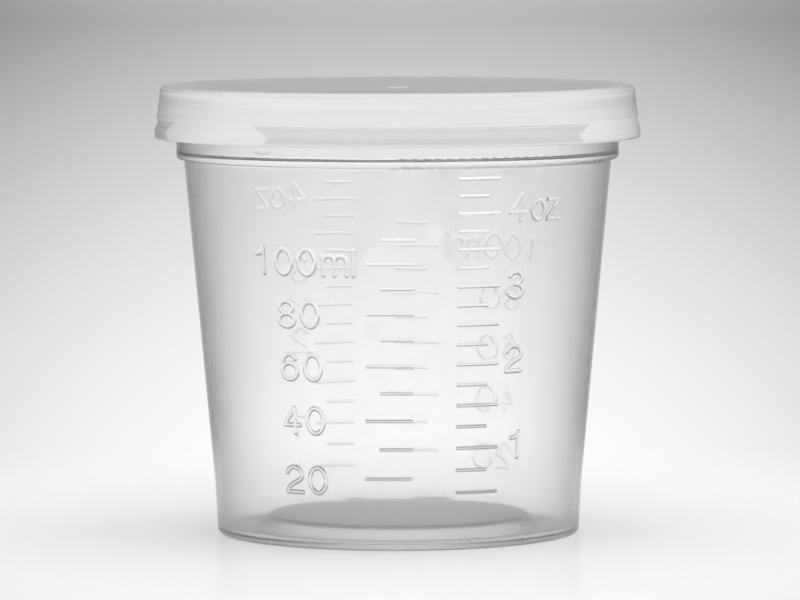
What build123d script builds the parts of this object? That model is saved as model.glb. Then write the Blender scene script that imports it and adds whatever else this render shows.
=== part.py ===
from build123d import *
from math import cos, degrees, pi, radians, sin, tan
import os

# Specimen container, 120 ml: an injection-moulded polypropylene cup and its press-on lid.
# Millimetres, +Z up, origin at the centre of the ring the cup stands on. Azimuths are in
# degrees, 0 at the front (-Y) and positive towards +X.

# ---- cup: overall form ----
cup_height = 66.4            # standing ring to the top of the rim
base_radius = 27.15          # outside of the wall at the standing ring
foot_height = 7.4            # the wall is steeper below this height
foot_draft = 3.1             # degrees, wall below foot_height
foot_blend = 6               # radius that blends the two slopes
wall_draft = 5.28            # degrees, wall above it
wall = 1.0
floor = 0.9

# ---- cup: base ----
ring_width = 5.82            # outside of the base in to where the floor starts to rise
plateau_slope = 2.1          # radial run of the slope up to the raised centre
plateau_rise = 2.07          # raised centre above the floor around it
base_corner = 0.9            # outside corner radius at the standing ring
floor_corner = 0.8           # inside corner radius, floor to wall
plateau_round = 0.5
gate_nub_radius = 0.7
gate_nub_height = 0.4        # it hangs under the raised centre, where the cup was filled

# ---- cup: neck and rim ----
neck_depth = 10.1            # top of the rim down to the step where the neck begins
neck_step = 1.1              # how far the neck stands out from the wall
neck_corner = 0.55
inner_step_rise = 0.9        # the inside steps out this far above the outside
inner_step_angle = 20        # degrees, slope of the inside step
rim_overhang = 1.28          # rim bead, which the lid snaps over, outside the neck
rim_bead = 1.17              # height of the bead
rim_round = 0.4
inside_round = 0.3
moulded_root = 0.4           # how far ribs, the nub and the tabs reach into what carries them

# ---- cup: locating nub on the neck ----
nub_azimuth = -36.5
nub_length = 3.0
nub_height = 1.0
nub_proud = 0.3
nub_taper = 45               # degrees, slope of its flank
nub_above_neck_bottom = 2.25

# ---- graduations: ribs moulded on the wall, once at the front and once at the back ----
scale_azimuths = (6.5, 183.0)
rib_width = 0.56
rib_proud = 0.15
rib_flank = 0.23             # how much narrower a rib is at its crest, each side
reading_drops = (0.5, 1.5)   # how far a rib's middle lies below the level it reads, front, back
ounce_ml = 30.2              # the step of the ounce scale, a little over a true ounce
ml_marks = range(20, 111, 10)
quarter_ounces = range(2, 19)
top_margin = 0.8             # least distance from a rib's middle up to the neck
ml_rib_end = -1.1            # arc from the scale's centre line to the ribs' inner end
ml_long = 6.9
ml_short = 4.85
ounce_rib_start = 5.4
ounce_long = 6.65
ounce_short = 4.75

# ---- lid: overall form ----
panel = 0.9
lid_wall = 0.8
lid_depth = 7.86             # top of the lid to the bottom edge of its skirt
dish = 0.4                   # how far the panel's middle lies below its edge
land = 2.6                   # flat margin of the panel outside the dish
lid_top_round = 0.8
skirt_edge_drop = 4.95       # top of the lid to the step above the grip band
skirt_edge_flare = 0.58      # radius there over the radius at the top
skirt_waist = 0.06           # how far the skirt's outside bows in from a straight cone
waist_round = 12
groove_depth = 0.22
groove_height = 0.75
groove_round = 0.3
ridge_drop = 6.55            # top of the lid to the fullest part of the grip band
ridge_flare = 0.91
ridge_round = 0.6
band_bottom_flare = 0.83
edge_round = 0.15
seat_round = 0.2
lid_gate_radius = 1.8
lid_gate_depth = 0.25
lid_gate_nub_radius = 0.5

# ---- lid: three lift tabs, smooth pads that fill the groove of the grip band ----
tab_azimuths = (-50.8, 66.5, 187.8)
tab_span = 39.4              # degrees, tip to tip
tab_top_cut = 2.9            # arc from a tab's tip back to its top corner
tab_bottom_cut = 1.3         # arc from a tab's tip back to its bottom corner
tab_lap = 0.5                # how far a tab runs up over the skirt before it fades out
tab_swell = 0.02             # a tab's rise over the skirt's edge
tab_edge_round = 1
tab_middle_flare = 0.87
tab_middle_round = 4
tab_bottom_flare = 0.97
tab_bottom_round = 0.35
tab_trim = 1                 # degrees of sweep past each tip, cut off by the pointed outline

# ---- fits between lid and cup ----
rim_clearance = 0.3          # radial, rim bead to the inside of the skirt
snap_clearance = 0.1         # radial, rim bead to the lid's snap bead
snap_drop = 0.25             # underside of the rim bead to the crest of the snap bead
snap_foot = 0.7              # crest of the snap bead to its foot, above and below
snap_round = 0.25
snap_lead_round = 0.3        # foot on the side that rides over the rim
snap_top_round = 0.1         # foot on the side that holds it

# ---- worked out from the sizes above ----
foot_radius = base_radius + foot_height * tan(radians(foot_draft))
ring_inner = base_radius - ring_width
plateau_radius = ring_inner - plateau_slope
neck_bottom = cup_height - neck_depth
lid_top = cup_height + panel
lid_bottom = lid_top - lid_depth


def outer_radius(z):
    """Outside radius of the plain wall at height z."""
    if z < foot_height:
        return base_radius + z * tan(radians(foot_draft))
    return foot_radius + (z - foot_height) * tan(radians(wall_draft))


def inner_radius(z):
    return outer_radius(z) - wall


neck_radius = outer_radius(neck_bottom) + neck_step
rim_radius = neck_radius + rim_overhang
lid_top_radius = rim_radius + rim_clearance + lid_wall
skirt_edge_radius = lid_top_radius + skirt_edge_flare
ridge_radius = lid_top_radius + ridge_flare
band_bottom_radius = lid_top_radius + band_bottom_flare


def frustum(r_low, r_high, height):
    return pi * height * (r_low**2 + r_low * r_high + r_high**2) / 3


def fill_level(volume_ml):
    """Height of the liquid when the cup holds volume_ml."""
    plateau = frustum(ring_inner, plateau_radius, plateau_rise)
    below = frustum(inner_radius(floor), inner_radius(foot_height), foot_height - floor) - plateau
    slope = tan(radians(wall_draft))
    cube = inner_radius(foot_height) ** 3 + 3 * slope * (volume_ml * 1000 - below) / pi
    return foot_height + (cube ** (1 / 3) - inner_radius(foot_height)) / slope


def section(corners):
    """Face in the XZ plane from (radius, height, corner radius) triples."""
    points = [(r, z) for r, z, _ in corners]
    rounds = [rounding for _, _, rounding in corners]
    outline = FilletPolyline(*points, radius=rounds, close=True)
    return Plane.XZ * make_face(outline.edges())


def at_azimuth(shape, azimuth):
    return Rot(0, 0, azimuth) * shape


def sector(face, start, end):
    """Solid of the face turned about the axis from one azimuth to another."""
    # the XZ plane is at azimuth 90, so the face starts there
    return at_azimuth(revolve(face, Axis.Z, end - start), start - 90)


# ---- cup ----
def cup_shell():
    neck_inner = neck_radius - wall
    step = neck_bottom + inner_step_rise
    step_slope = (neck_inner - inner_radius(step)) * tan(radians(inner_step_angle))
    return revolve(
        section(
            [
                (0, plateau_rise, 0),
                (plateau_radius - floor / 2, plateau_rise, plateau_round),
                (ring_inner - floor / 2, 0, plateau_round),
                (base_radius, 0, base_corner),
                (foot_radius, foot_height, foot_blend),
                (outer_radius(neck_bottom), neck_bottom, inside_round),
                (neck_radius, neck_bottom, neck_corner),
                (neck_radius, cup_height - rim_bead, inside_round),
                (rim_radius, cup_height - rim_bead, rim_round),
                (rim_radius, cup_height, rim_round),
                (neck_inner, cup_height, rim_round),
                (neck_inner, step + step_slope, inside_round),
                (inner_radius(step), step, inside_round),
                (inner_radius(foot_height), foot_height, foot_blend),
                (inner_radius(floor), floor, floor_corner),
                (ring_inner, floor, plateau_round),
                (plateau_radius, floor + plateau_rise, plateau_round),
                (0, floor + plateau_rise, 0),
            ]
        ),
        Axis.Z,
    )


def rib(z, start, length, centre_azimuth):
    """One graduation rib that follows the wall, from arc start along length."""
    half = rib_width / 2
    crest = half - rib_flank
    face = section(
        [
            (outer_radius(z - half) - moulded_root, z - half, 0),
            (outer_radius(z - half), z - half, 0),
            (outer_radius(z) + rib_proud, z - crest, 0),
            (outer_radius(z) + rib_proud, z + crest, 0),
            (outer_radius(z + half), z + half, 0),
            (outer_radius(z + half) - moulded_root, z + half, 0),
        ]
    )
    per_arc = degrees(1 / outer_radius(z))
    return sector(
        face,
        centre_azimuth + start * per_arc,
        centre_azimuth + (start + length) * per_arc,
    )


def graduations(centre_azimuth, reading_drop):
    """Both units' ribs, as far up as the plain wall goes."""
    highest = neck_bottom - top_margin
    ribs = []
    for ml in ml_marks:
        length = ml_long if ml % 20 == 0 else ml_short
        z = fill_level(ml) - reading_drop
        if z < highest:
            ribs.append(rib(z, ml_rib_end - length, length, centre_azimuth))
    for quarter in quarter_ounces:
        length = ounce_long if quarter % 2 == 0 else ounce_short
        z = fill_level(quarter * ounce_ml / 4) - reading_drop
        if z < highest:
            ribs.append(rib(z, ounce_rib_start, length, centre_azimuth))
    return ribs


def neck_nub():
    """Low oval pad with a sloping flank, and the root that joins it to the neck."""
    plane = Plane(origin=(0, -neck_radius, 0), x_dir=(1, 0, 0), z_dir=(0, -1, 0))
    height = neck_bottom + nub_above_neck_bottom
    oval = plane * Pos(0, height) * Ellipse(nub_length / 2, nub_height / 2)
    pad = extrude(oval, nub_proud, taper=nub_taper)
    return at_azimuth(pad + extrude(oval, -moulded_root), nub_azimuth)


def gate_nub():
    return Pos(0, 0, plateau_rise) * Cylinder(
        gate_nub_radius, gate_nub_height, align=(Align.CENTER, Align.CENTER, Align.MAX)
    )


def make_cup():
    front_azimuth, back_azimuth = scale_azimuths
    front_drop, back_drop = reading_drops
    ribs = graduations(front_azimuth, front_drop) + graduations(back_azimuth, back_drop)
    return cup_shell().fuse(neck_nub(), gate_nub(), *ribs)


# ---- lid ----
def skirt_inside(z):
    """Inside radius of the skirt at height z."""
    top_inside = rim_radius + rim_clearance
    bottom_inside = band_bottom_radius - lid_wall
    return top_inside + (bottom_inside - top_inside) * (cup_height - z) / (cup_height - lid_bottom)


def skirt_corners():
    """Outside of the skirt from the top round down to the step: (radius, height) pairs."""
    edge_z = lid_top - skirt_edge_drop
    waist_radius = (lid_top_radius + skirt_edge_radius) / 2 - skirt_waist
    return (lid_top_radius, lid_top), (waist_radius, (lid_top + edge_z) / 2), (skirt_edge_radius, edge_z)


def lid_outline():
    """Open outline from the panel's land round the skirt to the seat on the rim."""
    top, waist, edge = skirt_corners()
    snap_z = cup_height - rim_bead - snap_drop
    outside = [
        (*top, lid_top_round),
        (*waist, waist_round),
        (*edge, edge_round / 2),
        (edge[0] - groove_depth, edge[1] - groove_depth / 2, 0),
        (edge[0] - groove_depth / 2, edge[1] - groove_height, groove_round),
        (ridge_radius, lid_top - ridge_drop, ridge_round),
        (band_bottom_radius, lid_bottom, edge_round),
    ]
    inside = [
        (skirt_inside(lid_bottom), lid_bottom, edge_round),
        (skirt_inside(snap_z - snap_foot), snap_z - snap_foot, snap_lead_round),
        (rim_radius + snap_clearance, snap_z, snap_round),
        (skirt_inside(snap_z + snap_foot), snap_z + snap_foot, snap_top_round),
        (skirt_inside(cup_height), cup_height, seat_round),
    ]
    return outside + inside


def dished(radius, z):
    """Arc of the dished panel from the axis out to radius, where it reaches height z."""
    return ThreePointArc((0, z - dish), (radius / 2, z - dish * 3 / 4), (radius, z))


def lid_shell():
    land_inner = lid_top_radius - land
    seat_inner = neck_radius - wall - rim_round
    corners = lid_outline()
    points = [(land_inner, lid_top)] + [(r, z) for r, z, _ in corners] + [(seat_inner, cup_height)]
    skirt = FilletPolyline(*points, radius=[rounding for _, _, rounding in corners])
    top = dished(land_inner, lid_top)
    under = dished(seat_inner, cup_height)
    middle = Line(top @ 0, under @ 0)
    return revolve(Plane.XZ * make_face(skirt.edges() + [top, under, middle]), Axis.Z)


def tab_outline(azimuth):
    """Prism through the skirt with the tab's pointed six-sided outline."""
    edge_z = lid_top - skirt_edge_drop
    tip_z = lid_top - ridge_drop
    top_z = edge_z + tab_lap
    tip = ridge_radius * radians(tab_span / 2)
    top_cut = tab_top_cut * (top_z - tip_z) / (edge_z - tip_z)
    corners = [
        (tip, tip_z),
        (tip - top_cut, top_z),
        (top_cut - tip, top_z),
        (-tip, tip_z),
        (tab_bottom_cut - tip, lid_bottom),
        (tip - tab_bottom_cut, lid_bottom),
    ]
    flat = [(ridge_radius * sin(arc / ridge_radius), z) for arc, z in corners]
    inner = ridge_radius * cos(radians(tab_span / 2)) - lid_wall * 2
    plane = Plane(origin=(0, -inner, 0), x_dir=(1, 0, 0), z_dir=(0, -1, 0))
    prism = extrude(plane * make_face(Polyline(*flat, close=True).edges()), ridge_radius)
    return at_azimuth(prism, azimuth)


def tab(azimuth):
    _, waist, edge = skirt_corners()
    slope = (edge[0] - waist[0]) / (waist[1] - edge[1])
    bottom_radius = lid_top_radius + tab_bottom_flare
    face = section(
        [
            (edge[0] - slope * tab_lap - moulded_root, edge[1] + tab_lap, 0),
            (edge[0] - slope * tab_lap, edge[1] + tab_lap, 0),
            (edge[0] + tab_swell, edge[1], tab_edge_round),
            (lid_top_radius + tab_middle_flare, lid_top - ridge_drop, tab_middle_round),
            (bottom_radius, lid_bottom, tab_bottom_round),
            (bottom_radius - moulded_root, lid_bottom, 0),
        ]
    )
    reach = tab_span / 2 + tab_trim
    return sector(face, azimuth - reach, azimuth + reach) & tab_outline(azimuth)


def lid_gate():
    """Shallow round well in the middle of the panel, with the gate's stub left standing."""
    well = Cylinder(lid_gate_radius, 2 * lid_gate_depth)
    stub = Cylinder(lid_gate_nub_radius, 2 * lid_gate_depth)
    return Pos(0, 0, lid_top - dish) * (well - stub)


def make_lid():
    return lid_shell().fuse(*[tab(azimuth) for azimuth in tab_azimuths]) - lid_gate()


cup = make_cup()
lid = make_lid()
os.makedirs("parts", exist_ok=True)
export_step(cup, "parts/cup.step")
export_step(lid, "parts/lid.step")
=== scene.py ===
import math

import bpy
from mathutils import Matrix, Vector
from mathutils.bvhtree import BVHTree


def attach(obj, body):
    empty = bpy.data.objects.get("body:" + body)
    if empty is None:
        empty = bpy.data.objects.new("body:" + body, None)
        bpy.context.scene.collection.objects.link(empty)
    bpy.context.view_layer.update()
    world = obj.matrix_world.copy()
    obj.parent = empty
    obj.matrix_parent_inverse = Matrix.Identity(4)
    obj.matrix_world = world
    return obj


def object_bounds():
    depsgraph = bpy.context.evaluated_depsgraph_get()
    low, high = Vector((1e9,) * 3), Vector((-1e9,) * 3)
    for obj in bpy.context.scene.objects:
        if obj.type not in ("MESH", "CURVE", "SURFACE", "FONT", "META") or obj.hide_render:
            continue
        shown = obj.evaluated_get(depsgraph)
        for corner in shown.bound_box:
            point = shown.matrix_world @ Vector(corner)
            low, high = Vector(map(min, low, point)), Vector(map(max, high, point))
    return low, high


# specimen container: a hazy clear cup and a milky lid on a pale bench, lit softly from behind

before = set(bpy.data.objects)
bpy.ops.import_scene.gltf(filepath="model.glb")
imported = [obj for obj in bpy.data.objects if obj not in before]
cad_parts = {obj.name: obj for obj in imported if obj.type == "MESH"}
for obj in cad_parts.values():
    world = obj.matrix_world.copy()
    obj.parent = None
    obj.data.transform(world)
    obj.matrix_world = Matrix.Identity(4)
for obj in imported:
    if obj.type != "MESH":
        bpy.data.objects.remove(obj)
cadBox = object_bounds()
mm = 0.001


def toLinear(hexColour):
    # sRGB hex string to a linear RGBA tuple
    values = [int(hexColour[i : i + 2], 16) / 255 for i in (1, 3, 5)]
    return tuple(v / 12.92 if v <= 0.04045 else ((v + 0.055) / 1.055) ** 2.4 for v in values) + (1.0,)


def add(tree, kind, settings=None, **inputs):
    # one node: its settings, then its inputs by name, or by number as _0; a socket is linked
    node = tree.nodes.new(kind)
    for name, value in (settings or {}).items():
        setattr(node, name, value)
    for name, value in inputs.items():
        key = int(name[1:]) if name[0] == "_" else name.replace("_", " ")
        if isinstance(value, bpy.types.NodeSocket):
            tree.links.new(value, node.inputs[key])
        else:
            node.inputs[key].default_value = value
    return node


def setStops(ramp, stops):
    # positions from 0 to 1 in rising order, each with a linear colour
    elements = ramp.color_ramp.elements
    elements.remove(elements[0])
    for i, (position, colour) in enumerate(stops):
        stop = elements[0] if i == 0 else elements.new(position)
        stop.position = position
        stop.color = colour


def emptyMaterial(name):
    material = bpy.data.materials.new(name)
    material.use_nodes = True
    material.node_tree.nodes.clear()
    return material, material.node_tree


camera = {
    "lens": 266.4,  # a long lens from under a metre away
    "sensor": 36.0,
    "distance": 888 * mm,
    "height": 99.4 * mm,
    "aimDown": 4.154,  # degrees
    "sideStep": 0.45 * mm,
    "roll": 0.12,
    "nearest": 50 * mm,
    "farthest": 20,
}


def makeCamera():
    data = bpy.data.cameras.new("studioCamera")
    data.lens = camera["lens"]
    data.sensor_width = camera["sensor"]
    data.clip_start = camera["nearest"]
    data.clip_end = camera["farthest"]
    holder = bpy.data.objects.new("studioCamera", data)
    holder.location = (camera["sideStep"], -camera["distance"], camera["height"])
    holder.rotation_euler = (math.radians(90 - camera["aimDown"]), math.radians(camera["roll"]), 0)
    bpy.context.scene.collection.objects.link(holder)
    bpy.context.scene.camera = holder
    print("camera set")


bench = {
    "halfSize": 1.5,
    "colour": "#ececec",
    "roughness": 0.2,
    "gloss": 0.35,  # how much of the smooth skin is left on the worn, wiped surface
    "fadeStart": 62 * mm,  # the bench melts into the backdrop from here outwards
    "fadeEnd": 150 * mm,
}

backdrop = {
    "strength": 1.04,
    # share of that strength on the lit backdrop and in the dim room above it, by elevation in degrees
    "stops": [
        (-6.2, "#ffffff"),
        (-5.5, "#fcfcfc"),
        (-4.73, "#f6f6f6"),
        (-3.96, "#ededed"),
        (-3.19, "#e1e1e1"),
        (-2.37, "#d1d1d1"),
        (-1.45, "#b9b9b9"),
        (1.5, "#dedede"),
        (6.0, "#d2d2d2"),
        (10.0, "#c4c4c4"),
        (14.0, "#bababa"),
        (35.0, "#989898"),
    ],
    "glowCurve": 42.0,  # how fast the glow falls off sideways, and the most that it falls
    "glowLoss": 0.22,
    # seen direct, the brightest part is clipped to white; plastic dims it, so through plastic its
    # full range shows: a level times base + slope x level, and its loss times the same sort of sum
    "throughBase": 0.42,
    "throughSlope": 0.7,
    "lossBase": 2.2,
    "lossSlope": -1.6,
    "darkest": 0.02,
    "roomShare": 0.12,  # the dark room beside the backdrop, as smooth surfaces mirror it
    "roomStart": 0.995,  # cosine of the angle from straight behind where the backdrop ends
    "roomEnd": 0.9,
    "fillLow": 1.05,  # plain light on everything that scatters, from below and level
    "fillHigh": 0.95,  # and from overhead
    "fillTurn": 0.7,  # sine of the elevation where overhead begins
    "light": "#ffffff",
}

softboxes = {
    "rightSoftbox": {"watts": 1.0, "size": 0.35, "location": (0.55, 0.15, 0.12), "mirrored": False},
    "topSoftbox": {"watts": 2.2, "size": 0.7, "location": (0.1, -0.15, 0.9), "mirrored": True},
}


def makeBench():
    half = bench["halfSize"]
    corners = [(-half, -half, 0), (half, -half, 0), (half, half, 0), (-half, half, 0)]
    mesh = bpy.data.meshes.new("bench")
    mesh.from_pydata(corners, [], [(0, 1, 2, 3)])
    plane = bpy.data.objects.new("bench", mesh)
    bpy.context.scene.collection.objects.link(plane)
    # pale laminate: a white sheet under a clear skin, so it mirrors faintly at a low angle
    material, tree = emptyMaterial("paleLaminate")
    colour = toLinear(bench["colour"])
    sheet = add(tree, "ShaderNodeBsdfDiffuse", Color=colour)
    skin = add(tree, "ShaderNodeBsdfPrincipled", Base_Color=colour, Roughness=bench["roughness"])
    top = add(tree, "ShaderNodeMixShader", _0=bench["gloss"], _1=sheet.outputs[0], _2=skin.outputs[0])
    place = add(tree, "ShaderNodeTexCoord")
    reach = add(tree, "ShaderNodeVectorMath", {"operation": "LENGTH"}, _0=place.outputs["Object"])
    fade = add(
        tree,
        "ShaderNodeMapRange",
        {"interpolation_type": "SMOOTHSTEP"},
        Value=reach.outputs["Value"],
        From_Min=bench["fadeStart"],
        From_Max=bench["fadeEnd"],
    )
    gone = add(tree, "ShaderNodeBsdfTransparent")
    both = add(tree, "ShaderNodeMixShader", _0=fade.outputs[0], _1=top.outputs[0], _2=gone.outputs[0])
    add(tree, "ShaderNodeOutputMaterial", Surface=both.outputs[0])
    mesh.materials.append(material)


def makeBackdrop():
    world = bpy.data.worlds.new("studio")
    bpy.context.scene.world = world
    world.use_nodes = True
    tree = world.node_tree
    tree.nodes.clear()
    times = {"operation": "MULTIPLY"}
    timesAndPlus = {"operation": "MULTIPLY_ADD"}
    minus = {"operation": "SUBTRACT"}
    larger = {"operation": "MAXIMUM"}
    smaller = {"operation": "MINIMUM"}

    # brightness by elevation
    sines = [math.sin(math.radians(elevation)) for elevation, _ in backdrop["stops"]]
    lowest, highest = sines[0], sines[-1]
    place = add(tree, "ShaderNodeTexCoord")
    axes = add(tree, "ShaderNodeSeparateXYZ", Vector=place.outputs["Generated"])
    height = add(
        tree, "ShaderNodeMapRange", Value=axes.outputs["Z"], From_Min=lowest, From_Max=highest
    )
    ramp = add(tree, "ShaderNodeValToRGB", Fac=height.outputs[0])
    positions = [(sine - lowest) / (highest - lowest) for sine in sines]
    colours = [toLinear(colour) for _, colour in backdrop["stops"]]
    setStops(ramp, zip(positions, colours))
    lit = add(tree, "ShaderNodeMath", times, _0=ramp.outputs["Color"], _1=backdrop["strength"])

    # the glow falls off to both sides
    squared = add(tree, "ShaderNodeMath", {"operation": "POWER"}, _0=axes.outputs["X"], _1=2.0)
    falls = add(tree, "ShaderNodeMath", times, _0=squared.outputs[0], _1=backdrop["glowCurve"])
    loss = add(tree, "ShaderNodeMath", smaller, _0=falls.outputs[0], _1=backdrop["glowLoss"])
    glow = add(tree, "ShaderNodeMath", minus, _0=lit.outputs[0], _1=loss.outputs[0])
    plainly = add(tree, "ShaderNodeMath", larger, _0=glow.outputs[0], _1=backdrop["darkest"])

    # what is seen through plastic: the same, with its full range of brightness
    gain = add(
        tree,
        "ShaderNodeMath",
        timesAndPlus,
        _0=lit.outputs[0],
        _1=backdrop["throughSlope"],
        _2=backdrop["throughBase"],
    )
    full = add(tree, "ShaderNodeMath", times, _0=lit.outputs[0], _1=gain.outputs[0])
    spread = add(
        tree,
        "ShaderNodeMath",
        timesAndPlus,
        _0=lit.outputs[0],
        _1=backdrop["lossSlope"],
        _2=backdrop["lossBase"],
    )
    fullLoss = add(tree, "ShaderNodeMath", times, _0=loss.outputs[0], _1=spread.outputs[0])
    fullGlow = add(tree, "ShaderNodeMath", minus, _0=full.outputs[0], _1=fullLoss.outputs[0])
    through = add(tree, "ShaderNodeMath", larger, _0=fullGlow.outputs[0], _1=backdrop["darkest"])

    # what a mirror-like surface shows: the same backdrop, then the darker room beside it
    beside = add(
        tree,
        "ShaderNodeMapRange",
        Value=axes.outputs["Y"],
        From_Min=backdrop["roomEnd"],
        From_Max=backdrop["roomStart"],
        To_Min=backdrop["roomShare"],
    )
    mirrored = add(tree, "ShaderNodeMath", times, _0=plainly.outputs[0], _1=beside.outputs[0])

    # each kind of ray gets its own
    ray = add(tree, "ShaderNodeLightPath")
    passing = ray.outputs["Is Transmission Ray"]
    direct = add(tree, "ShaderNodeMath", larger, _0=ray.outputs["Is Camera Ray"], _1=passing)
    sees = add(tree, "ShaderNodeMath", larger, _0=direct.outputs[0], _1=ray.outputs["Is Glossy Ray"])
    unmirrored = add(
        tree, "ShaderNodeMix", Factor=passing, A=plainly.outputs[0], B=through.outputs[0]
    )
    level = add(
        tree,
        "ShaderNodeMix",
        Factor=direct.outputs[0],
        A=mirrored.outputs[0],
        B=unmirrored.outputs[0],
    )
    white = toLinear(backdrop["light"])
    shown = add(tree, "ShaderNodeBackground", Color=white, Strength=level.outputs[0])

    # plain light for everything that scatters
    upward = add(
        tree,
        "ShaderNodeMapRange",
        {"interpolation_type": "SMOOTHSTEP"},
        Value=axes.outputs["Z"],
        From_Min=0.0,
        From_Max=backdrop["fillTurn"],
        To_Min=backdrop["fillLow"],
        To_Max=backdrop["fillHigh"],
    )
    plain = add(tree, "ShaderNodeBackground", Color=white, Strength=upward.outputs[0])
    both = add(
        tree, "ShaderNodeMixShader", _0=sees.outputs[0], _1=plain.outputs[0], _2=shown.outputs[0]
    )
    add(tree, "ShaderNodeOutputWorld", Surface=both.outputs[0])


def makeLights():
    for name, box in softboxes.items():
        data = bpy.data.lights.new(name, "AREA")
        data.energy = box["watts"]
        data.size = box["size"]
        lamp = bpy.data.objects.new(name, data)
        lamp.location = box["location"]
        lamp.visible_glossy = box["mirrored"]
        lamp.visible_transmission = box["mirrored"]
        aim = Vector((0, 0, cadBox[1][2] / 2)) - lamp.location
        lamp.rotation_euler = aim.to_track_quat("-Z", "Y").to_euler()
        bpy.context.scene.collection.objects.link(lamp)
    print("bench, backdrop and lights set")


# natural polypropylene, injection moulded in a polished mould: clear enough to read through,
# with a slight haze from its crystals; its edges, where the wall is seen along its length, are
# darkened with painted shade for the dark room seen through them, and a little for the longer path
polypropylene = {
    "clear": "#ffffff",
    # painted shade: the colour where the wall is seen edge-on, for the dark room seen through it
    "edge": "#626262",
    "edgePower": 2.4,
    "ior": 1.49,
    "roughness": 0.03,
    "cloud": 0.33,  # share of the light that small crystals turn aside by a few degrees
    "cloudRoughness": 0.22,
    "skin": 1.0,  # how much of the light its surface turns away never reaches the crystals
    "haze": 0.045,  # share that they scatter all round
    # bands of thicker plastic, low and high edge in mm and their haze: more crystals in the way
    "thickBands": [
        (0.0, 0.9, 0.45),
        (1.0, 3.4, 0.1),
        (56.1, 57.0, 0.65),
        (57.1, 60.0, 0.09),
        (65.2, 66.5, 0.4),
    ],
    "shadow": "#f2f2f2",
    # the wall is a little wavy where it cooled: size and depth of the waves in mm
    "waves": {"size": 6.0, "depth": 0.004},
}

# low-density polyethylene, moulded thicker and softer: the same sort of plastic with more crystals,
# so it glows where light comes through and hides most of what is behind it
polyethylene = {
    "clear": "#fcfcfc",
    "edge": "#a8a8a8",
    # painted shade where the lid's wall is seen edge-on, for the dark room seen through it
    "edgePower": 2.0,
    "ior": 1.51,
    "roughness": 0.12,
    "cloud": 0.35,
    "cloudRoughness": 0.3,
    "skin": 0.75,
    "haze": 0.6,
    "thickBands": [(59.4, 59.7, 0.9), (59.8, 62.1, 0.6), (62.2, 62.7, 0.9), (66.1, 67.4, 0.9)],
    "shadow": "#eeeeee",
    # the pads of the three lift tabs
    "tabs": {
        "haze": 0.75,
        "azimuths": (-50.8, 66.5, 187.8),
        "halfSpan": 19.7,  # degrees, middle to tip
        "tip": 60.75,  # height of the points in mm
        "top": 62.4,
        "topLean": 14.6,  # how fast the outline narrows, as a cosine per metre of height
        "bottomLean": 8.5,
        "soft": 0.001,  # half of the outline's blur, as a cosine
        # painted shade: the band between the pads is tinted darker, as if in the pads' shade
        "band": "#eeeeee",
        "bandHeights": (59.8, 62.1),
        "bandSoft": 0.1,
    },
    # a satin mould, and faint level streaks left by its turning, all in mm
    "waves": {"size": 0.5, "depth": 0.003},
    "streaks": {"length": 33.3, "height": 0.833, "contrast": 0.12},
}

# how every plastic is laid out
moulding = {
    "ceiling": 80,  # mm, above the highest band
    "bandSoft": 0.15,  # mm, over which a band of thicker plastic starts and ends
    "noiseLow": 0.25,  # the noise hardly leaves this range
    "noiseHigh": 0.75,
    "turnedBack": 0.5,  # share of the scattered light that comes back out of the side it went in
}


def bandedHaze(tree, plastic):
    # how milky the plastic is at each height
    ceiling = moulding["ceiling"]
    soft = moulding["bandSoft"]
    around = plastic["haze"]
    place = add(tree, "ShaderNodeTexCoord")
    axes = add(tree, "ShaderNodeSeparateXYZ", Vector=place.outputs["Object"])
    share = add(
        tree, "ShaderNodeMath", {"operation": "DIVIDE"}, _0=axes.outputs["Z"], _1=ceiling * mm
    )
    ramp = add(tree, "ShaderNodeValToRGB", Fac=share.outputs[0])
    steps = [(0.0, around)]
    for low, high, haze in plastic["thickBands"]:
        steps += [(low, around), (low + soft, haze), (high - soft, haze), (high, around)]
    setStops(ramp, [(height / ceiling, (haze, haze, haze, 1)) for height, haze in steps])
    if "tabs" not in plastic:
        return ramp.outputs["Color"]
    pad = tabShare(tree, plastic["tabs"])
    both = add(
        tree, "ShaderNodeMix", Factor=pad, A=ramp.outputs["Color"], B=plastic["tabs"]["haze"]
    )
    return both.outputs[0]


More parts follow.
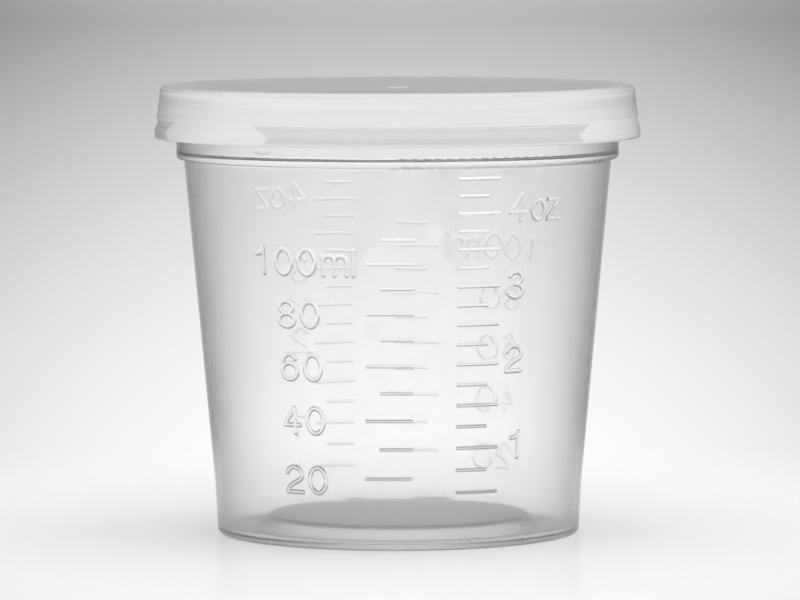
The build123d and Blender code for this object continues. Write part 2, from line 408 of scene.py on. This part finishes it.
def tabShare(tree, tabs):
    # 1 on the pads of the lift tabs, which are arrowheads with their points level
    times = {"operation": "MULTIPLY"}
    minus = {"operation": "SUBTRACT"}
    larger = {"operation": "MAXIMUM"}
    place = add(tree, "ShaderNodeTexCoord")
    axes = add(tree, "ShaderNodeSeparateXYZ", Vector=place.outputs["Object"])
    flat = add(tree, "ShaderNodeCombineXYZ", X=axes.outputs["X"], Y=axes.outputs["Y"])
    outward = add(tree, "ShaderNodeVectorMath", {"operation": "NORMALIZE"}, _0=flat.outputs[0])
    nearest = None
    for azimuth in tabs["azimuths"]:
        a = math.radians(azimuth)
        middle = (math.sin(a), -math.cos(a), 0)
        along = add(
            tree,
            "ShaderNodeVectorMath",
            {"operation": "DOT_PRODUCT"},
            _0=outward.outputs[0],
            _1=middle,
        ).outputs["Value"]
        if nearest is None:
            nearest = along
        else:
            nearest = add(tree, "ShaderNodeMath", larger, _0=nearest, _1=along).outputs[0]
    above = add(tree, "ShaderNodeMath", minus, _0=axes.outputs["Z"], _1=tabs["tip"] * mm)
    upper = add(tree, "ShaderNodeMath", times, _0=above.outputs[0], _1=tabs["topLean"])
    lower = add(tree, "ShaderNodeMath", times, _0=above.outputs[0], _1=-tabs["bottomLean"])
    lean = add(tree, "ShaderNodeMath", larger, _0=upper.outputs[0], _1=lower.outputs[0])
    inside = add(tree, "ShaderNodeMath", minus, _0=nearest, _1=lean.outputs[0])
    edge = math.cos(math.radians(tabs["halfSpan"]))
    within = add(
        tree,
        "ShaderNodeMapRange",
        Value=inside.outputs[0],
        From_Min=edge - tabs["soft"],
        From_Max=edge + tabs["soft"],
    )
    under = {"operation": "LESS_THAN"}
    below = add(tree, "ShaderNodeMath", under, _0=axes.outputs["Z"], _1=tabs["top"] * mm)
    pad = add(tree, "ShaderNodeMath", times, _0=within.outputs[0], _1=below.outputs[0])
    return pad.outputs[0]


def paintedShadeBandShare(tree, tabs):
    # 1 in the band between the tabs, below the skirt and above the lid's lower edge, where painted
    # shade darkens the wall
    low, high = tabs["bandHeights"]
    middle = (low + high) / 2 * mm
    half = (high - low) / 2
    minus = {"operation": "SUBTRACT"}
    place = add(tree, "ShaderNodeTexCoord")
    axes = add(tree, "ShaderNodeSeparateXYZ", Vector=place.outputs["Object"])
    offset = add(tree, "ShaderNodeMath", minus, _0=axes.outputs["Z"], _1=middle)
    distance = add(tree, "ShaderNodeMath", {"operation": "ABSOLUTE"}, _0=offset.outputs[0])
    level = add(
        tree,
        "ShaderNodeMapRange",
        Value=distance.outputs[0],
        From_Min=(half + tabs["bandSoft"]) * mm,
        From_Max=(half - tabs["bandSoft"]) * mm,
    )
    between = add(tree, "ShaderNodeMath", minus, _0=1.0, _1=tabShare(tree, tabs))
    band = add(
        tree,
        "ShaderNodeMath",
        {"operation": "MULTIPLY"},
        _0=level.outputs[0],
        _1=between.outputs[0],
    )
    return band.outputs[0]


def wavySurface(tree, waves):
    place = add(tree, "ShaderNodeTexCoord")
    perMetre = 1 / (waves["size"] * mm)
    noise = add(
        tree, "ShaderNodeTexNoise", Vector=place.outputs["Object"], Scale=perMetre, Detail=2.0
    )
    bump = add(tree, "ShaderNodeBump", Height=noise.outputs[0], Distance=waves["depth"] * mm)
    return bump.outputs[0]


def streakFactor(tree, streaks):
    # how much milkier or clearer each level streak is
    along = 1 / (streaks["length"] * mm)
    up = 1 / (streaks["height"] * mm)
    place = add(tree, "ShaderNodeTexCoord")
    laid = add(
        tree, "ShaderNodeMapping", Vector=place.outputs["Object"], Scale=(along, along, up)
    )
    noise = add(tree, "ShaderNodeTexNoise", Vector=laid.outputs[0], Scale=1.0, Detail=1.0)
    milky = add(
        tree,
        "ShaderNodeMapRange",
        Value=noise.outputs[0],
        From_Min=moulding["noiseLow"],
        From_Max=moulding["noiseHigh"],
        To_Min=1 - streaks["contrast"],
        To_Max=1 + streaks["contrast"],
    )
    return milky.outputs[0]


def wallColourAndPaintedShade(tree, plastic):
    # painted shade: darker where the wall is seen along its length, for the dark room seen through
    # its edges, and darker in a lid's band between its tabs, as if in the pads' shade
    tilt = add(tree, "ShaderNodeLayerWeight")
    along = add(
        tree,
        "ShaderNodeMath",
        {"operation": "POWER"},
        _0=tilt.outputs["Facing"],
        _1=plastic["edgePower"],
    )
    shadedTint = add(
        tree,
        "ShaderNodeMix",
        {"data_type": "RGBA"},
        _0=along.outputs[0],
        _6=toLinear(plastic["clear"]),
        _7=toLinear(plastic["edge"]),
    )
    if "tabs" not in plastic:
        return shadedTint.outputs[2]
    # painted shade in the band between the tabs
    shadedBand = add(
        tree,
        "ShaderNodeMix",
        {"data_type": "RGBA", "blend_type": "MULTIPLY"},
        _0=paintedShadeBandShare(tree, plastic["tabs"]),
        _6=shadedTint.outputs[2],
        _7=toLinear(plastic["tabs"]["band"]),
    )
    return shadedBand.outputs[2]


def finishPlastic(tree, surface, shadow):
    # light passes a thin wall almost freely, so shadows are pale
    ray = add(tree, "ShaderNodeLightPath")
    pale = add(tree, "ShaderNodeBsdfTransparent", Color=toLinear(shadow))
    done = add(
        tree,
        "ShaderNodeMixShader",
        _0=ray.outputs["Is Shadow Ray"],
        _1=surface.outputs[0],
        _2=pale.outputs[0],
    )
    add(tree, "ShaderNodeOutputMaterial", Surface=done.outputs[0])


def makePlastic(name, plastic):
    material, tree = emptyMaterial(name)
    times = {"operation": "MULTIPLY"}
    # the plastic's colour, with painted shade on its edges and in the lid's band
    colour = wallColourAndPaintedShade(tree, plastic)
    wavy = wavySurface(tree, plastic["waves"])
    clear, cloudy = [
        add(
            tree,
            "ShaderNodeBsdfPrincipled",
            Base_Color=colour,
            Roughness=roughness,
            IOR=plastic["ior"],
            Transmission_Weight=1.0,
            Normal=wavy,
        )
        for roughness in (plastic["roughness"], plastic["cloudRoughness"])
    ]
    crystals = bandedHaze(tree, plastic)
    cloudiness = add(
        tree,
        "ShaderNodeMath",
        {"operation": "MULTIPLY", "use_clamp": True},
        _0=crystals,
        _1=plastic["cloud"] / plastic["haze"],
    )
    body = add(
        tree,
        "ShaderNodeMixShader",
        _0=cloudiness.outputs[0],
        _1=clear.outputs[0],
        _2=cloudy.outputs[0],
    )
    onward = add(tree, "ShaderNodeBsdfTranslucent", Color=colour)
    back = add(tree, "ShaderNodeBsdfDiffuse", Color=colour)
    haze = add(
        tree,
        "ShaderNodeMixShader",
        _0=moulding["turnedBack"],
        _1=onward.outputs[0],
        _2=back.outputs[0],
    )
    # only light that gets past the glossy skin meets the crystals
    skin = add(tree, "ShaderNodeFresnel", IOR=plastic["ior"])
    turned = add(tree, "ShaderNodeMath", times, _0=skin.outputs[0], _1=plastic["skin"])
    minus = {"operation": "SUBTRACT"}
    passed = add(tree, "ShaderNodeMath", minus, _0=1.0, _1=turned.outputs[0])
    share = add(tree, "ShaderNodeMath", times, _0=passed.outputs[0], _1=crystals)
    if "streaks" in plastic:
        milky = streakFactor(tree, plastic["streaks"])
        share = add(tree, "ShaderNodeMath", times, _0=share.outputs[0], _1=milky)
    whole = add(
        tree, "ShaderNodeMixShader", _0=share.outputs[0], _1=body.outputs[0], _2=haze.outputs[0]
    )
    finishPlastic(tree, whole, plastic["shadow"])
    return material


def makeFigurePlastic(name, plastic):
    # the same plastic in beads too thin for haze, waves or a dark edge of their own
    material, tree = emptyMaterial(name)
    bead = add(
        tree,
        "ShaderNodeBsdfPrincipled",
        Base_Color=toLinear(plastic["clear"]),
        Roughness=plastic["roughness"],
        IOR=plastic["ior"],
        Transmission_Weight=1.0,
    )
    finishPlastic(tree, bead, plastic["shadow"])
    return material


def finishNode(node, material):
    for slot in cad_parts[node].material_slots:
        slot.material = material
    print(node, "finished in", material.name)


# raised numbers and units on the cup's wall, all sizes in mm
lettering = {
    "halfWidth": 0.36,  # half of a stroke where it leaves the wall
    "halfTop": 0.12,  # and half of its flat top
    "proud": {"front": 0.145, "back": 0.065},  # the back copy is cut shallower
    "sunk": 0.012,  # how deep a stroke's hidden underside lies in the wall
    "grid": 0.08,
    "digitHeight": 3.7,  # centre line to centre line
    "smallHeight": 2.85,
    "digitWidth": 2.6,
    "pitch": 3.9,
    "pitches": {"1": 3.64, "m": 4.64, "o": 3.12},
    "arcStep": 12,  # degrees
    "bendSteps": 8,
}

# label, azimuth of its left edge and height of its baseline in mm; the back copy is turned round
labels = {
    "azimuth": {"front": 6.5, "back": 183.0},
    "drop": {"front": 0.0, "back": 1.0},  # the back copy stands a little lower
    "rows": [
        ("100ml", -49.2, 40.6),
        ("80", -42.4, 32.9),
        ("60", -42.4, 25.1),
        ("40", -42.6, 17.2),
        ("20", -42.9, 8.4),
        ("4oz", 24.5, 48.4),
        ("3", 24.9, 37.1),
        ("2", 25.4, 26.2),
        ("1", 28.5, 13.4),
    ],
    # where the wall's radius is measured: two heights, and azimuths with no scale on them
    "measureHeights": (15 * mm, 50 * mm),
    "bareAzimuths": (-100, -95, 90, 95, 100),
    "measureFrom": 100 * mm,
}


def arc(centre, radii, start, end):
    # points along an elliptical arc, degrees, 0 to the right and 90 up
    count = max(2, round(abs(end - start) / lettering["arcStep"]))
    angles = [math.radians(start + (end - start) * i / count) for i in range(count + 1)]
    return [(centre[0] + radii[0] * math.cos(a), centre[1] + radii[1] * math.sin(a)) for a in angles]


def bend(a, b, c, d):
    # points along a cubic Bezier curve
    points = []
    for i in range(lettering["bendSteps"] + 1):
        t = i / lettering["bendSteps"]
        s = 1 - t
        weights = (s**3, 3 * s * s * t, 3 * s * t * t, t**3)
        points.append(tuple(sum(w * p[k] for w, p in zip(weights, (a, b, c, d))) for k in (0, 1)))
    return points


def strokesOf(letter):
    # centre lines of a plain sans letter, in mm from its lower left
    w = lettering["digitWidth"]
    h = lettering["digitHeight"]
    x = lettering["smallHeight"]
    if letter == "0":
        return [arc((w / 2, h / 2), (w / 2, h / 2), 0, 360)]
    if letter == "1":
        return [[(1.3, 0), (1.3, h)], bend((1.3, h), (1.15, 3.05), (0.7, 2.9), (0, 2.88))]
    if letter == "2":
        top = arc((w / 2, 2.55), (w / 2 - 0.05, h - 2.55), 165, -20)
        return [top + bend(top[-1], (2.2, 1.5), (0.1, 1.3), (0, 0)) + [(w, 0)]]
    if letter == "3":
        upper = arc((1.25, 2.8), (1.1, 0.9), 160, -90)
        lower = arc((1.25, 0.95), (1.3, 0.95), 90, -160)
        return [upper + lower]
    if letter == "4":
        return [[(1.8, 0), (1.8, h), (0, 1.15), (w, 1.15)]]
    if letter == "6":
        crown = arc((w / 2, h / 2), (w / 2, h / 2), 40, 180)
        return [crown + [(0, 1.2)], arc((w / 2, 1.2), (w / 2, 1.2), 0, 360)]
    if letter == "8":
        return [arc((w / 2, 2.8), (1.08, 0.9), 0, 360), arc((w / 2, 0.95), (w / 2, 0.95), 0, 360)]
    if letter == "m":
        arch = arc((0.9, x - 0.9), (0.9, 0.9), 180, 0) + [(1.8, 0)]
        return [[(0, 0), (0, x)], arch, [(px + 1.8, py) for px, py in arch]]
    if letter == "l":
        return [[(0, 0), (0, h)]]
    if letter == "o":
        return [arc((1.17, x / 2), (1.17, x / 2), 0, 360)]
    return [[(0, x), (2.4, x), (0, 0), (2.4, 0)]]  # z


def distanceTo(x, y, segments):
    nearest = math.inf
    for ax, ay, dx, dy, span in segments:
        t = ((x - ax) * dx + (y - ay) * dy) / span
        t = 0 if t < 0 else 1 if t > 1 else t
        ex = x - ax - t * dx
        ey = y - ay - t * dy
        nearest = min(nearest, ex * ex + ey * ey)
    return math.sqrt(nearest)


def beadHeight(distance, proud):
    # section across a stroke: a flat top between two sloping flanks whose feet are sunk in the wall
    down = max(0.0, distance - lettering["halfTop"]) / (lettering["halfWidth"] - lettering["halfTop"])
    return proud * (1 - down)


def flatLetter(letter, proud):
    # closed bead of one letter on a flat wall: points (x, y, rise) and faces
    strokes = strokesOf(letter)
    segments = []
    for stroke in strokes:
        for (ax, ay), (bx, by) in zip(stroke, stroke[1:]):
            span = (bx - ax) ** 2 + (by - ay) ** 2
            if span > 0:
                segments.append((ax, ay, bx - ax, by - ay, span))
    flank = lettering["halfWidth"] - lettering["halfTop"]
    reach = lettering["halfWidth"] + flank * lettering["sunk"] / proud
    step = lettering["grid"]
    margin = reach + step
    xs = [p[0] for stroke in strokes for p in stroke]
    ys = [p[1] for stroke in strokes for p in stroke]
    columns = math.ceil((max(xs) - min(xs) + 2 * margin) / step)
    rows = math.ceil((max(ys) - min(ys) + 2 * margin) / step)
    place = {}
    away = {}
    for i in range(columns + 1):
        for j in range(rows + 1):
            place[i, j] = (min(xs) - margin + i * step, min(ys) - margin + j * step)
            away[i, j] = distanceTo(*place[i, j], segments)

    points = []
    topIndex = {}
    underIndex = {}

    def topPoint(key):
        if key not in topIndex:
            topIndex[key] = len(points)
            points.append((*place[key], beadHeight(away[key], proud)))
        return topIndex[key]

    def edgePoint(a, b):
        key = (a, b) if a < b else (b, a)
        if key not in topIndex:
            t = (reach - away[key[0]]) / (away[key[1]] - away[key[0]])
            (ax, ay), (bx, by) = place[key[0]], place[key[1]]
            topIndex[key] = len(points)
            underIndex[topIndex[key]] = topIndex[key]
            points.append((ax + (bx - ax) * t, ay + (by - ay) * t, -lettering["sunk"]))
        return topIndex[key]

    top = []
    for i in range(columns):
        for j in range(rows):
            a, b, c, d = (i, j), (i + 1, j), (i + 1, j + 1), (i, j + 1)
            halves = ((a, b, c), (a, c, d)) if (i + j) % 2 else ((a, b, d), (b, c, d))
            for corners in halves:
                face = []
                for k in range(3):
                    here, there = corners[k], corners[(k + 1) % 3]
                    if away[here] < reach:
                        face.append(topPoint(here))
                    if (away[here] < reach) != (away[there] < reach):
                        face.append(edgePoint(here, there))
                if len(face) > 2:
                    top.append(face)

    # the hidden underside repeats the top, flat and turned over
    under = []
    for face in top:
        for index in face:
            if index not in underIndex:
                underIndex[index] = len(points)
                points.append((points[index][0], points[index][1], -lettering["sunk"]))
        under.append([underIndex[index] for index in reversed(face)])
    return points, top + under


def measureWall():
    # radius of the cup's plain wall at any height, from the CAD cup itself
    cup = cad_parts["cup"].data
    tree = BVHTree.FromPolygons([v.co for v in cup.vertices], [p.vertices for p in cup.polygons])
    low, high = labels["measureHeights"]
    radii = []
    for z in (low, high):
        hits = []
        for azimuth in labels["bareAzimuths"]:
            a = math.radians(azimuth)
            out = Vector((math.sin(a), -math.cos(a), 0))
            hit = tree.ray_cast(out * labels["measureFrom"] + Vector((0, 0, z)), -out)[0]
            hits.append(math.hypot(hit.x, hit.y))
        radii.append(max(hits))
    slope = (radii[1] - radii[0]) / (high - low)
    return lambda z: radii[0] + slope * (z - low)


def makeLettering(material):
    wallRadius = measureWall()
    for side, proud in lettering["proud"].items():
        letters = {}
        points = []
        faces = []
        for text, azimuth, height in labels["rows"]:
            baseline = height - labels["drop"][side]
            start = math.radians(labels["azimuth"][side] + azimuth)
            middle = wallRadius(baseline * mm + lettering["digitHeight"] / 2 * mm) / mm
            pen = lettering["halfWidth"]
            for letter in text:
                if letter not in letters:
                    letters[letter] = flatLetter(letter, proud)
                flatPoints, flatFaces = letters[letter]
                first = len(points)
                for x, y, rise in flatPoints:
                    z = (baseline + y) * mm
                    a = start + (pen + x) / middle
                    r = wallRadius(z) + rise * mm
                    points.append((r * math.sin(a), -r * math.cos(a), z))
                faces += [[first + index for index in face] for face in flatFaces]
                pen += lettering["pitches"].get(letter, lettering["pitch"])
        mesh = bpy.data.meshes.new(side + "Numbers")
        mesh.from_pydata(points, [], faces)
        mesh.materials.append(material)
        piece = bpy.data.objects.new(side + "Numbers", mesh)
        bpy.context.scene.collection.objects.link(piece)
        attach(piece, "cup")
        print(side, "numbers:", len(mesh.polygons), "faces")


bpy.context.scene.view_settings.view_transform = "Standard"
makeCamera()
makeBench()
makeBackdrop()
makeLights()
finishNode("cup", makePlastic("naturalPolypropylene", polypropylene))
finishNode("lid", makePlastic("naturalPolyethylene", polyethylene))
makeLettering(makeFigurePlastic("polypropyleneNumbers", polypropylene))
